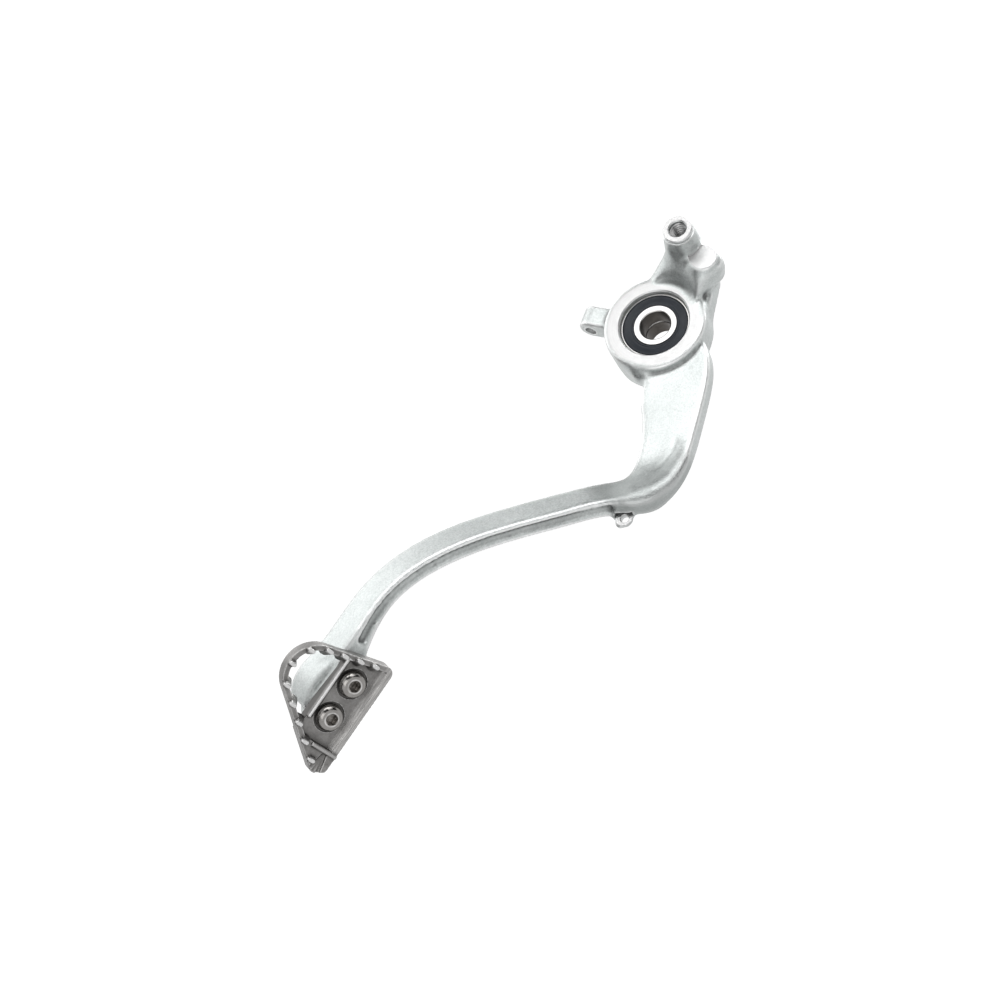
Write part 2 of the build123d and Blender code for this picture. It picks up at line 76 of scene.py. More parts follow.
# %% Camera
CAMERA_PLACE = Vector((0.13033, -0.75165, 0.48902))
CAMERA_RIGHT = Vector((-0.73941, 0.33484, 0.58408))
CAMERA_UP = Vector((-0.67170, -0.42579, -0.60624))
CAMERA_BACK = Vector((0.04571, -0.84059, 0.53974))
LENS_MM = 83.7
SENSOR_MM = 36.0
NEAR_LIMIT = 0.01

camera_data = bpy.data.cameras.new("camera")
camera_data.lens = LENS_MM
camera_data.sensor_width = SENSOR_MM
camera_data.clip_start = NEAR_LIMIT
camera = bpy.data.objects.new("camera", camera_data)
bpy.context.scene.collection.objects.link(camera)
camera_turn = Matrix((CAMERA_RIGHT, CAMERA_UP, CAMERA_BACK)).transposed()
camera.matrix_world = Matrix.Translation(CAMERA_PLACE) @ camera_turn.to_4x4()
bpy.context.scene.camera = camera
print("camera lens in mm:", camera_data.lens)

# %% [markdown]
# ## The white room
#
# A catalogue picture has a white background and soft light. A plain white world would do both, but it would also
# flood the metal. So the world shows white to the camera and to reflections, and a calmer light to everything else.
# The Light Path node tells these rays apart.

# %% World
ROOM_LIGHT = 0.18
BACKGROUND = 1.0
WHITE = (1.0, 1.0, 1.0, 1.0)

scene = bpy.context.scene
scene.view_settings.view_transform = "Standard"


def seen_or_mirrored(tree):
    """One for rays from the camera and for rays that metal or glass sends on, and zero for other light."""
    path = tree.nodes.new("ShaderNodeLightPath")
    seen = path.outputs["Is Camera Ray"]
    for ray in ("Is Glossy Ray", "Is Transmission Ray"):
        either = tree.nodes.new("ShaderNodeMath")
        either.operation = "MAXIMUM"
        tree.links.new(seen, either.inputs[0])
        tree.links.new(path.outputs[ray], either.inputs[1])
        seen = either.outputs[0]
    return seen


world = bpy.data.worlds.new("white_studio")
scene.world = world
world.use_nodes = True
sky = world.node_tree
sky.nodes.clear()
sky_out = sky.nodes.new("ShaderNodeOutputWorld")
sky_mix = sky.nodes.new("ShaderNodeMixShader")
sky.links.new(seen_or_mirrored(sky), sky_mix.inputs[0])
for socket, strength in zip(sky_mix.inputs[1:], (ROOM_LIGHT, BACKGROUND)):
    light = sky.nodes.new("ShaderNodeBackground")
    light.inputs["Color"].default_value = WHITE
    light.inputs["Strength"].default_value = strength
    sky.links.new(light.outputs[0], socket)
sky.links.new(sky_mix.outputs[0], sky_out.inputs["Surface"])
print("room light:", ROOM_LIGHT, "background:", BACKGROUND)

# %% [markdown]
# ## The floor
#
# A studio floor is often a curved sweep of paper. Here one large flat square is enough, because its far edge is never
# seen. It lies well below the part and takes a faint shadow.

# %% Floor
FLOOR_DROP = 0.75
FLOOR_HALF = 12.0


def flat_square(name, half, z=0.0):
    """One level square face as an object of the scene."""
    corners = [(-half, -half, z), (half, -half, z), (half, half, z), (-half, half, z)]
    data = bpy.data.meshes.new(name)
    data.from_pydata(corners, [], [(0, 1, 2, 3)])
    made = bpy.data.objects.new(name, data)
    scene.collection.objects.link(made)
    return made


floor_z = cad_box[0][2] - FLOOR_DROP
floor = flat_square("studio_floor", FLOOR_HALF, floor_z)
print("floor height in mm:", round(floor_z / MM, 1))

# %% [markdown]
# ## Lamps
#
# The picture needs soft light from several sides, the strongest from low behind the pedal. Square area lamps
# give soft shadows. Each stands at the same distance and is placed by its direction alone, so it is easy to swing.

# %% Lamps
PART_MIDDLE = Vector((0.09, -0.015, 0.02))
LAMP_REACH = 0.75
LAMP_SIZE = 0.45
LAMPS = {
    "rear_low": ((-0.87, 0.23, -0.45), 4.6),
    "front_low": ((-0.32, -0.88, -0.36), 1.6),
    "front_high": ((0.38, -0.81, 0.45), 0.9),
    "rear_side": ((-0.64, -0.77, 0.0), 1.4),
    "under": ((0.18, -0.38, -0.91), 0.8),
}


def face_part(thing, direction, reach):
    """Stand a lamp or a card off the part in a direction, turned to face its middle."""
    thing.location = PART_MIDDLE + Vector(direction).normalized() * reach
    thing.rotation_euler = (PART_MIDDLE - thing.location).to_track_quat("-Z", "Y").to_euler()


for lamp_name, (direction, watts) in LAMPS.items():
    lamp_data = bpy.data.lights.new(lamp_name, "AREA")
    lamp_data.shape = "SQUARE"
    lamp_data.size = LAMP_SIZE
    lamp_data.energy = watts
    lamp = bpy.data.objects.new(lamp_name, lamp_data)
    scene.collection.objects.link(lamp)
    face_part(lamp, direction, LAMP_REACH)
print("lamps:", list(LAMPS))

# %% [markdown]
# ## Dark cards
#
# Bare metal in an all-white room loses its form, because every face mirrors the same white. A photographer stands
# dark cards just out of the picture, and their reflections draw the sides of round parts and the hollows. These cards
# are seen by reflections alone, so they cast no shadow and never stand in front of the camera.

# %% Cards
CARD_REACH = 0.8
CARD_HALF = 0.29
CARDS = {
    "card_rear_low": (-0.64, -0.50, -0.58),
    "card_front_side": (0.87, -0.40, -0.27),
    "card_front": (0.99, 0.13, -0.04),
    "card_camera_side": (-0.13, -0.97, 0.23),
    "card_rear_high": (-0.81, -0.47, 0.36),
}


def dark_card(name, direction):
    """A square of dark card that faces the part."""
    card = flat_square(name, CARD_HALF)
    face_part(card, direction, CARD_REACH)
    card.visible_camera = False
    card.visible_diffuse = False
    card.visible_shadow = False
    return card


cards = [dark_card(name, direction) for name, direction in CARDS.items()]
print("cards:", list(CARDS))

# %% [markdown]
# ## Building finishes from nodes
#
# Every finish here is procedural: noise at several scales steers colour, roughness and a fine bump, so it holds up
# close and needs no picture file. One small helper adds a node and links or sets its sockets, which keeps each finish
# short.


# %% Node helpers
class Finish:
    """A material with one Principled shader, and short ways to add nodes before it."""

    def __init__(self, name):
        self.material = bpy.data.materials.new(name)
        self.material.use_nodes = True
        self.tree = self.material.node_tree
        self.shader = self.tree.nodes["Principled BSDF"]
        self.place = self.node("ShaderNodeTexCoord").outputs["Object"]

    def node(self, kind, settings=None, **sockets):
        """A new node with its settings, and its sockets fed by name."""
        made = self.tree.nodes.new(kind)
        for key, value in (settings or {}).items():
            setattr(made, key, value)
        for key, value in sockets.items():
            self.feed(made.inputs[key.replace("_", " ")], value)
        return made

    def feed(self, socket, value):
        """Link a socket to another one, or set it to a plain value."""
        if isinstance(value, bpy.types.NodeSocket):
            self.tree.links.new(value, socket)
        else:
            socket.default_value = value

    def set(self, **sockets):
        """Feed sockets of the shader itself."""
        for key, value in sockets.items():
            self.feed(self.shader.inputs[key.replace("_", " ")], value)

    def noise(self, per_mm, detail=3.0, roughness=0.55):
        """Cloudy noise, by its number of waves in a millimetre."""
        made = self.node("ShaderNodeTexNoise", Vector=self.place, Scale=per_mm / MM)
        self.feed(made.inputs["Detail"], detail)
        self.feed(made.inputs["Roughness"], roughness)
        return made.outputs["Fac"]

    def ramp(self, value, low, high, out_low=0.0, out_high=1.0):
        """Stretch a number from one range to another, and stop at its ends."""
        made = self.node("ShaderNodeMapRange", Value=value)
        ends = {"From Min": low, "From Max": high, "To Min": out_low, "To Max": out_high}
        for socket, number in ends.items():
            made.inputs[socket].default_value = number
        return made.outputs[0]

    def mix(self, amount, first, second):
        """Blend two colours."""
        made = self.node("ShaderNodeMix", {"data_type": "RGBA"})
        self.feed(made.inputs[0], amount)
        self.feed(made.inputs[6], first)
        self.feed(made.inputs[7], second)
        return made.outputs[2]

    def add(self, first, second, weight):
        """The first number plus a share of the second."""
        made = self.node("ShaderNodeMath", {"operation": "MULTIPLY_ADD"})
        self.feed(made.inputs[0], second)
        made.inputs[1].default_value = weight
        self.feed(made.inputs[2], first)
        return made.outputs[0]

    def math(self, operation, first, second=0.0):
        """One step of arithmetic."""
        made = self.node("ShaderNodeMath", {"operation": operation})
        self.feed(made.inputs[0], first)
        self.feed(made.inputs[1], second)
        return made.outputs[0]

    def vector_math(self, operation, first, second=None):
        """One step of arithmetic with vectors."""
        made = self.node("ShaderNodeVectorMath", {"operation": operation})
        self.feed(made.inputs[0], first)
        if second is not None:
            made.inputs[1].default_value = second
        return made

    def along(self, origin_mm, axis):
        """Distance along an axis from an origin, in millimetres."""
        away = self.vector_math("SUBTRACT", self.place, Vector(origin_mm) * MM).outputs[0]
        return self.vector_math("DOT_PRODUCT", away, Vector(axis).normalized() / MM).outputs["Value"]

    def from_axis(self, origin_mm, axis):
        """Distance from an axis, in metres."""
        away = self.vector_math("SUBTRACT", self.place, Vector(origin_mm) * MM).outputs[0]
        across = self.vector_math("CROSS_PRODUCT", away, Vector(axis).normalized()).outputs[0]
        return self.vector_math("LENGTH", across).outputs["Value"]

    def rings(self, reach, per_mm):
        """Noise that changes only with the distance from an axis, as turning marks do."""
        marks = self.node("ShaderNodeTexNoise", {"noise_dimensions": "1D"}, W=reach, Scale=per_mm / MM)
        return marks.outputs["Fac"]

    def open_air(self, reach_mm):
        """One in open places, and less in corners that little light reaches."""
        return self.node("ShaderNodeAmbientOcclusion", {"samples": 8}, Distance=reach_mm * MM).outputs["AO"]

    def soft_edge(self, radius_mm):
        """A normal that rounds sharp edges a little."""
        return self.node("ShaderNodeBevel", {"samples": 6}, Radius=radius_mm * MM).outputs[0]

    def painted(self, name, output="Fac"):
        """A number, or a vector, that mesh code wrote on the points of a piece."""
        return self.node("ShaderNodeAttribute", {"attribute_name": name}).outputs[output]

    def bump(self, height, depth_mm, strength, normal=None):
        """Fine relief that is too small for the mesh."""
        made = self.node("ShaderNodeBump", Strength=strength, Distance=depth_mm * MM, Height=height)
        if normal is not None:
            self.feed(made.inputs["Normal"], normal)
        return made.outputs[0]


def grey(level, warm=0.0):
    """A grey, or one that leans to warm."""
    return (level * (1.0 + warm), level, level * (1.0 - warm), 1.0)


print("a warm grey:", grey(0.5, 0.05))

# %% [markdown]
# ## Blasted aluminium for the forging
#
# The forging is shot blasted and left bare: a pale metal with a fine even sparkle. Painted shade darkens its
# hollows and corners, and its edges are lighter, partly from rubbed wear and partly as a painted highlight. Tiny cells
# change the colour, the roughness and the tilt from grain to grain, and slower noises keep large faces from looking
# flat. A picture could not follow the machined faces this closely, so the mesh code further down paints four numbers
# on the points: bend, which is positive on edges and negative in hollows, machined on turned faces, milled on the
# small pad beside the boss, which is painted lighter as a painted highlight, and one on the skin past the knee, which
# carries painted shade.

# %% Forging finish
BLASTED_DARK = (0.43, 0.458, 0.452, 1.0)
BLASTED_LIGHT = (0.62, 0.645, 0.64, 1.0)
# painted shade for hollows and corners
BLASTED_PAINTED_SHADE = grey(0.10)
# light grey for edges: rubbed wear and a painted highlight
BLASTED_WEAR_AND_HIGHLIGHT = grey(0.90)
# painted shade for the skin past the knee, and the share of it that is mixed in
BLASTED_KNEE_SHADE = (0.19, 0.204, 0.20, 1.0)
KNEE_SHADE_SHARE = 0.5
GRAINS_PER_MM = 2.6
TURNING_MARKS_PER_MM = 4.0
FORGING_CORNER_MM = 6.0
GRAIN_DEPTH_MM = 0.035


def forging_finish():
    """Bare blasted aluminium, with turned and milled faces."""
    f = Finish("forged_aluminium_blasted")
    cells = f.node("ShaderNodeTexVoronoi", Vector=f.place, Scale=GRAINS_PER_MM / MM).outputs["Color"]
    grain = f.node("ShaderNodeSeparateColor", Color=cells).outputs[0]
    cloud = f.noise(0.3, 4.0)
    shade = f.ramp(f.noise(0.05), 0.35, 0.65, -0.05, 0.05)
    shade = f.add(shade, f.ramp(cloud, 0.3, 0.7, -0.5, 0.5), 0.08)
    shade = f.add(shade, f.ramp(grain, 0.0, 1.0, -0.5, 0.5), 0.2)
    shade = f.add(shade, f.ramp(f.noise(1.3, 1.0), 0.3, 0.7, -0.5, 0.5), 0.16)
    colour = f.mix(f.ramp(shade, -0.16, 0.16), BLASTED_DARK, BLASTED_LIGHT)
    # painted shade in corners, where the ambient occlusion node finds little open air
    colour = f.mix(f.ramp(f.open_air(FORGING_CORNER_MM), 0.8, 0.2, 0.0, 0.55), colour, BLASTED_PAINTED_SHADE)
    bend = f.painted("bend")
    # painted shade in hollows, where the bend is negative
    colour = f.mix(f.ramp(bend, -0.05, -0.3, 0.0, 0.8), colour, BLASTED_PAINTED_SHADE)
    # edges lighter, partly rubbed wear and partly a painted highlight
    colour = f.mix(f.ramp(bend, 0.07, 0.32, 0.0, 0.6), colour, BLASTED_WEAR_AND_HIGHLIGHT)
    # painted shade on the skin past the knee's crease
    colour = f.mix(f.ramp(f.painted("knee_shade"), 0.0, 1.0, 0.0, KNEE_SHADE_SHARE), colour, BLASTED_KNEE_SHADE)
    machined = f.painted("machined")
    marks = f.rings(f.from_axis(PIVOT, OUTBOARD), TURNING_MARKS_PER_MM)
    colour = f.mix(machined, colour, f.mix(marks, grey(0.46), grey(0.58)))
    # the milled pad is painted lighter than the other machined faces, a painted highlight
    f.set(Base_Color=f.mix(f.painted("milled"), colour, f.mix(cloud, grey(0.54), grey(0.64))))
    f.set(Metallic=0.85, Roughness=f.add(f.ramp(grain, 0.0, 1.0, 0.3, 0.46), cloud, 0.06))
    height = f.add(grain, f.noise(1.8, 2.0), 0.8)
    height = f.math("MULTIPLY", height, f.ramp(machined, 0.0, 1.0, 1.0, 0.25))
    f.set(Normal=f.bump(height, GRAIN_DEPTH_MM, 0.6))
    return f.material


blasted_aluminium = forging_finish()
print("finish:", blasted_aluminium.name, "nodes:", len(blasted_aluminium.node_tree.nodes))

# %% [markdown]
# ## Cast steel for the tread
#
# The tread is investment cast: a warm, darker satin grey with a coarser skin than the forging. Boots rub its edges
# and tooth tops bright. Painted shade darkens its corners, its hollows and the wall under the bridge, and a painted
# highlight lies on the lip along the bridge. Fine streaks along the sloped rim are left from fettling. They follow
# the tread's own frame, so the mesh code paints each point's place in that frame as a vector named flat.

# %% Tread finish
CAST_DARK = grey(0.13, 0.03)
CAST_LIGHT = grey(0.31, 0.02)
# painted shade for corners
CAST_CORNER_SHADE = grey(0.03, 0.06)
# painted shade for hollows and for the wall under the bridge
CAST_SHADE = grey(0.05, 0.05)
CAST_EDGE = grey(0.60, 0.01)
TREAD_CORNER_MM = 4.0
STREAK_STRETCH = (0.15, 3.0, 0.5)
CAST_DEPTH_MM = 0.06


def tread_finish():
    """Satin cast steel, rubbed on the teeth, with painted shade in the corners."""
    f = Finish("cast_steel_satin")
    skin = f.noise(1.0, 5.0, 0.62)
    cloud = f.noise(0.14, 3.0)
    shade = f.add(f.ramp(cloud, 0.3, 0.7, 0.0, 0.55), f.ramp(skin, 0.3, 0.7), 0.45)
    colour = f.mix(shade, CAST_DARK, CAST_LIGHT)
    # painted shade in corners, where the ambient occlusion node finds little open air
    colour = f.mix(f.ramp(f.open_air(TREAD_CORNER_MM), 0.92, 0.3, 0.0, 0.9), colour, CAST_CORNER_SHADE)
    bend = f.painted("bend")
    # painted shade in hollows, where the bend is negative
    colour = f.mix(f.ramp(bend, -0.1, -0.7, 0.0, 0.5), colour, CAST_SHADE)
    colour = f.mix(f.ramp(bend, 0.25, 1.1, 0.0, 0.55), colour, CAST_EDGE)
    stretched = f.vector_math("MULTIPLY", f.painted("flat", "Vector"), STREAK_STRETCH).outputs[0]
    streak = f.node("ShaderNodeTexNoise", Vector=stretched, Scale=1.0, Detail=3.0).outputs["Fac"]
    band = f.mix(f.ramp(streak, 0.35, 0.65), grey(0.26, 0.02), grey(0.46, 0.02))
    colour = f.mix(f.painted("rim"), colour, band)
    # painted shade on the wall under the bridge
    colour = f.mix(f.ramp(f.painted("wall_shade"), 0.0, 1.0, 0.0, 0.7), colour, CAST_SHADE)
    # tooth tops rubbed bright, and a painted highlight along the bridge's lip
    bright = f.math("MAXIMUM", f.painted("rubbed"), f.painted("lip"))
    f.set(Base_Color=f.mix(bright, colour, f.mix(skin, grey(0.46, 0.01), grey(0.78))))
    f.set(Metallic=0.9, Roughness=f.ramp(skin, 0.3, 0.7, 0.34, 0.5))
    f.set(Normal=f.bump(f.add(skin, f.noise(2.6, 2.0), 0.4), CAST_DEPTH_MM, 0.5))
    return f.material


cast_steel = tread_finish()
print("finish:", cast_steel.name, "nodes:", len(cast_steel.node_tree.nodes))

# %% [markdown]
# ## Solids for plugs and cutters
#
# Most turned and drilled features are solids of revolution. Blender's own cylinders would need a boolean for every
# step of a profile, so one lathe function makes plugs, cutters and seals from a list of (radius, height) points. A
# second function pushes a flat outline straight through, as a punch does.

# %% Solids
ROUND_STEPS = 72
FINE_STEPS = 128
SMALL_STEPS = 48


def axes_matrix(origin_mm, x_axis, z_axis):
    """Placement matrix from an origin in millimetres, an x direction and a z direction."""
    z = Vector(z_axis).normalized()
    x = (Vector(x_axis) - z * z.dot(Vector(x_axis))).normalized()
    turn = Matrix((x, z.cross(x), z)).transposed().to_4x4()
    return Matrix.Translation(Vector(origin_mm) * MM) @ turn


def on_circle(radius, angle, height):
    """A point of a circle about the local z axis, given in millimetres."""
    return Vector((radius * math.cos(angle), radius * math.sin(angle), height)) * MM


def lathe(mesh, profile_mm, place, segments=ROUND_STEPS):
    """Add a closed solid of revolution about the local z axis to a bmesh."""
    angles = [2 * math.pi * step / segments for step in range(segments)]
    rings = []
    for radius, height in profile_mm:
        if radius == 0:
            rings.append([mesh.verts.new(place @ Vector((0, 0, height * MM)))])
        else:
            rings.append([mesh.verts.new(place @ on_circle(radius, angle, height)) for angle in angles])
    pairs = list(zip(rings, rings[1:]))
    if len(rings[0]) > 1:
        pairs.append((rings[-1], rings[0]))
    for low, high in pairs:
        for step in range(segments):
            after = (step + 1) % segments
            if len(low) == 1:
                mesh.faces.new((low[0], high[after], high[step]))
            elif len(high) == 1:
                mesh.faces.new((low[step], low[after], high[0]))
            else:
                mesh.faces.new((low[step], low[after], high[after], high[step]))


def cylinder(mesh, radius, low, high, place, segments=ROUND_STEPS):
    """Add a plain cylinder about the local z axis to a bmesh."""
    lathe(mesh, [(0, low), (radius, low), (radius, high), (0, high)], place, segments)


def prism(mesh, outline_mm, y_start, y_end):
    """Add a straight solid along y to a bmesh, from an outline of (x, z) points."""
    start = [mesh.verts.new(Vector((x, y_start, z)) * MM) for x, z in outline_mm]
    end = [mesh.verts.new(Vector((x, y_end, z)) * MM) for x, z in outline_mm]
    mesh.faces.new(start)
    mesh.faces.new(end)
    for step in range(len(start)):
        mesh.faces.new((start[step - 1], start[step], end[step], end[step - 1]))


def new_piece(name, mesh):
    """Turn a bmesh into an object of the scene."""
    bmesh.ops.recalc_face_normals(mesh, faces=mesh.faces)
    data = bpy.data.meshes.new(name)
    mesh.to_mesh(data)
    mesh.free()
    piece = bpy.data.objects.new(name, data)
    scene.collection.objects.link(piece)
    return piece


print("round solids have", SMALL_STEPS, ROUND_STEPS, "or", FINE_STEPS, "sides")

# %% [markdown]
# ## Skins and cuts
#
# Forged and cast metal has no sharp edge or corner. A bevel modifier struggles on a CAD mesh with its long thin faces,
# so a voxel remesh turns the whole piece into one even skin and a smooth rounds it. Holes are cut afterwards with an
# exact boolean. Each result is kept as a plain mesh, which leaves nothing to compute later.

# %% Skins and cuts
SMOOTH_SHARE = 0.5


def keep_modifiers(piece):
    """Replace a piece's mesh by what its modifiers make of it."""
    finished = piece.evaluated_get(bpy.context.evaluated_depsgraph_get())
    shaped = bpy.data.meshes.new_from_object(finished)
    piece.modifiers.clear()
    piece.data = shaped
    print(piece.name, "now has", len(shaped.vertices), "points")


def soften(piece, voxel_mm, rounds):
    """Remesh a piece as one skin and smooth it, which rounds its edges and fills its inner corners."""
    remesh = piece.modifiers.new("skin", "REMESH")
    remesh.mode = "VOXEL"
    remesh.voxel_size = voxel_mm * MM
    smooth = piece.modifiers.new("smooth", "SMOOTH")
    smooth.factor = SMOOTH_SHARE
    smooth.iterations = rounds
    keep_modifiers(piece)


def cut(piece, cutter):
    """Take a cutter's volume away from a piece, then throw the cutter away."""
    carve = piece.modifiers.new("cut", "BOOLEAN")
    carve.operation = "DIFFERENCE"
    carve.solver = "EXACT"
    carve.object = cutter
    keep_modifiers(piece)
    bpy.data.objects.remove(cutter)


print("a point is smoothed", SMOOTH_SHARE, "of the way to its neighbours")

# %% [markdown]
# ## Reading and painting points
#
# Wear and painted light follow the form: edges get rubbed and lighter, and hollows get painted shade. Blender has a
# pointiness value for this, but only for rendering. Here the bend of the skin is measured from each point's
# neighbours and painted on the points, so it can be looked at, used for sculpting too, and kept with the mesh.


# %% Points and paint
def read_points(piece, what):
    """One vector for each point of a piece, as rows of an array."""
    flat = np.empty(len(piece.data.vertices) * 3, dtype=np.float32)
    piece.data.vertices.foreach_get(what, flat)
    return flat.reshape(-1, 3)


def points_of(piece):
    """Points of a piece in millimetres."""
    return read_points(piece, "co") / MM


def normals_of(piece):
    """Normals at the points of a piece."""
    return read_points(piece, "normal")


def paint(piece, name, values, kind="FLOAT"):
    """Write one number, or one vector, on each point for the finishes to read."""
    layer = piece.data.attributes.new(name, kind, "POINT")
    what = "vector" if kind == "FLOAT_VECTOR" else "value"
    layer.data.foreach_set(what, np.ascontiguousarray(values, dtype=np.float32).ravel())


def edges_of(piece):
    """The two ends of every edge, and how many edges meet at each point."""
    ends = np.empty(len(piece.data.edges) * 2, dtype=np.int32)
    piece.data.edges.foreach_get("vertices", ends)
    a, b = ends.reshape(-1, 2).T
    count = len(piece.data.vertices)
    return a, b, np.maximum(np.bincount(a, minlength=count) + np.bincount(b, minlength=count), 1)


def neighbour_mean(values, a, b, near):
    """Mean of a number over the neighbours of each point."""
    return (np.bincount(a, values[b], len(values)) + np.bincount(b, values[a], len(values))) / near


def bend_of(piece, rounds=3):
    """How much the skin bends at each point, per millimetre: positive on edges, negative in hollows."""
    points, normals = points_of(piece), normals_of(piece)
    a, b, near = edges_of(piece)
    steps = points[b] - points[a]
    rise = np.bincount(a, (steps * normals[a]).sum(1), len(points))
    rise -= np.bincount(b, (steps * normals[b]).sum(1), len(points))
    lengths = (steps**2).sum(1)
    square = np.bincount(a, lengths, len(points)) + np.bincount(b, lengths, len(points))
    bend = -2 * rise / np.maximum(square, 1e-6)
    for _ in range(rounds):
        bend = (bend + neighbour_mean(bend, a, b, near)) / 2
    return bend


def paint_bend(piece):
    """Paint the bend for the finishes, which lighten edges and put painted shade in hollows."""
    bend = bend_of(piece)
    paint(piece, "bend", bend)
    print(piece.name, "bend per mm:", np.quantile(bend, [0.02, 0.2, 0.5, 0.8, 0.98]).round(3))


print("span of the lever's CAD points in mm:", np.ptp(points_of(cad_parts["pedal_lever"]), axis=0).round(1))

# %% [markdown]
# ## Sculpting by strokes
#
# Some soft forms, such as a crease or a blended corner, are easier to sculpt than to draw. A stroke is a chain of
# points with a soft brush about it. It either moves the skin along its normals or smooths it, and it gives the same
# result on every run, which work with a mouse would not.

# %% Strokes
OUTBOARD_FADE = 1.5


def move_points(piece, points):
    """Put the points of a piece at new places, given in millimetres."""
    piece.data.vertices.foreach_set("co", np.ascontiguousarray(points * MM, dtype=np.float32).ravel())
    piece.data.update()


def brush(points, path, width_mm):
    """One on a chain of straight stretches, fading softly to zero away from it."""
    best = np.full(len(points), np.inf)
    for start, end in zip(path, path[1:]):
        along = np.subtract(end, start)
        share = np.clip((points - start) @ along / (along @ along), 0, 1)
        best = np.minimum(best, np.linalg.norm(points - start - share[:, None] * along, axis=1))
    return np.exp(-((best / width_mm) ** 2))


def press(piece, path, depth_mm, width_mm):
    """Press a soft groove into the outboard skin along a path, or raise it with a negative depth."""
    points, normals = points_of(piece), normals_of(piece)
    amount = brush(points, path, width_mm) * np.clip(-normals[:, 1] * OUTBOARD_FADE, 0, 1)
    move_points(piece, points - normals * (depth_mm * amount)[:, None])


def relax(piece, amount, rounds):
    """Smooth the skin by an amount given for each point, from zero to one."""
    points = points_of(piece)
    a, b, near = edges_of(piece)
    for _ in range(rounds):
        means = np.stack([neighbour_mean(points[:, axis], a, b, near) for axis in range(3)], axis=1)
        points = points + (means - points) * (amount / 2)[:, None]
    move_points(piece, points)


print("one width away from its path a brush has", round(math.exp(-1), 2), "of its strength")

# %% [markdown]
# ## Dressing a CAD node
#
# A finer piece stands in for its CAD node: it takes over the node's body and gets a finish of its own, and the node
# is hidden. Smooth shading suits a soft skin, and edges above a given angle stay crisp.


# %% Dressing
def smooth_shading(piece, degrees):
    """Smooth shading, with edges sharper than an angle left crisp."""
    piece.data.shade_smooth()
    piece.data.set_sharp_from_angle(angle=math.radians(degrees))


def dress(piece, node, body, material):
    """Let a piece stand in for a CAD node, in that node's body, with a finish of its own."""
    piece.data.materials.clear()
    piece.data.materials.append(material)
    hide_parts(node)
    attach(piece, body)
    print(piece.name, "replaces", node, "with", len(piece.data.polygons), "faces")


print("CAD nodes that a piece can replace:", len(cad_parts))

# %% [markdown]
# ## The forging's blank
#
# A forging leaves the die with rounded edges and filleted corners, and only then are its holes bored and some faces
# machined. The same order works here. The CAD solid gets plugs in its holes and a little spare metal on the faces
# that will be machined. The toe gets a plate that runs up to the bridge of the tread, and the leash eye gets two
# corners.

# %% Forging blank
HOUSING_R = 14.0
HUB_FACE = 10.0
HUB_BACK = 10.0
PLUG_SPARE = 1.0
BOSS = (-29.2, -30.0, -11.3)
BOSS_R = 5.9
BOSS_HOLE_R = 3.4
BOSS_HOLE_DEPTH = 18.0
BOSS_CAP_R = BOSS_R + 0.3
BOSS_CAP_FOOT = -2.8
BOSS_CAP_TOP = 0.9
SPRING_EYE = (14.0, -2.2, -24.25)
SPRING_EYE_AXIS = (0.866, 0.0, 0.5)
SPRING_EYE_HALF = 4.5
SPRING_HOLE_R = 2.3
LEASH_EYE = (61.1, -5.2, 52.9)
LEASH_EYE_R = 2.9
LEASH_THICK = 2.6
LEASH_SPARE = 0.6
LEASH_CORNER = 2.6
LEASH_CORNER_DROP = 0.3
LEASH_CORNER_R = 1.7
LEASH_CORNER_THICK = 2.4
LEASH_CORNER_STEPS = 32
TOE_POINT = (183.5, -33.3, 25.3)
TOE_NORMAL = (0.22, -0.96, -0.156)
TOE_PLATE_X = (178.5, 183.5, 188.5)
TOE_PLATE_Z = 32.5
TOE_PLATE_R = 6.0
TOE_PLATE_THICK = 4.0
HUB_PLACE = axes_matrix(PIVOT, FORWARD, OUTBOARD)
BOSS_PLACE = axes_matrix(BOSS, FORWARD, OUTBOARD)
LEASH_PLACE = axes_matrix(LEASH_EYE, FORWARD, OUTBOARD)
SPRING_PLACE = axes_matrix(SPRING_EYE, OUTBOARD, SPRING_EYE_AXIS)


def lever_blank():
    """The lever before machining: plugged holes, and spare metal where faces will be machined."""
    mesh = bmesh.new()
    mesh.from_mesh(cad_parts["pedal_lever"].data)
    cylinder(mesh, HOUSING_R + PLUG_SPARE, -HUB_BACK, HUB_FACE, HUB_PLACE)
    plug_end, plug_r = -BOSS_HOLE_DEPTH - PLUG_SPARE, BOSS_HOLE_R + PLUG_SPARE
    lathe(mesh, [(0, plug_end), (plug_r, plug_end), (plug_r, BOSS_CAP_FOOT), (BOSS_CAP_R, BOSS_CAP_FOOT),
                 (BOSS_CAP_R, BOSS_CAP_TOP), (0, BOSS_CAP_TOP)], BOSS_PLACE)
    cylinder(mesh, LEASH_EYE_R, -LEASH_THICK, LEASH_SPARE, LEASH_PLACE)
    for side in (-LEASH_CORNER, LEASH_CORNER):
        corner = (LEASH_EYE[0] + side, LEASH_EYE[1], LEASH_EYE[2] - LEASH_CORNER_DROP)
        corner_place = axes_matrix(corner, FORWARD, OUTBOARD)
        cylinder(mesh, LEASH_CORNER_R, -LEASH_CORNER_THICK, 0, corner_place, LEASH_CORNER_STEPS)
    for x in TOE_PLATE_X:
        slope = TOE_NORMAL[0] * (x - TOE_POINT[0]) + TOE_NORMAL[2] * (TOE_PLATE_Z - TOE_POINT[2])
        y = TOE_POINT[1] - slope / TOE_NORMAL[1]
        cylinder(mesh, TOE_PLATE_R, -TOE_PLATE_THICK, 0, axes_matrix((x, y, TOE_PLATE_Z), FORWARD, TOE_NORMAL))
    cylinder(mesh, SPRING_HOLE_R + PLUG_SPARE, -SPRING_EYE_HALF, SPRING_EYE_HALF, SPRING_PLACE)
    return new_piece("lever_forging", mesh)


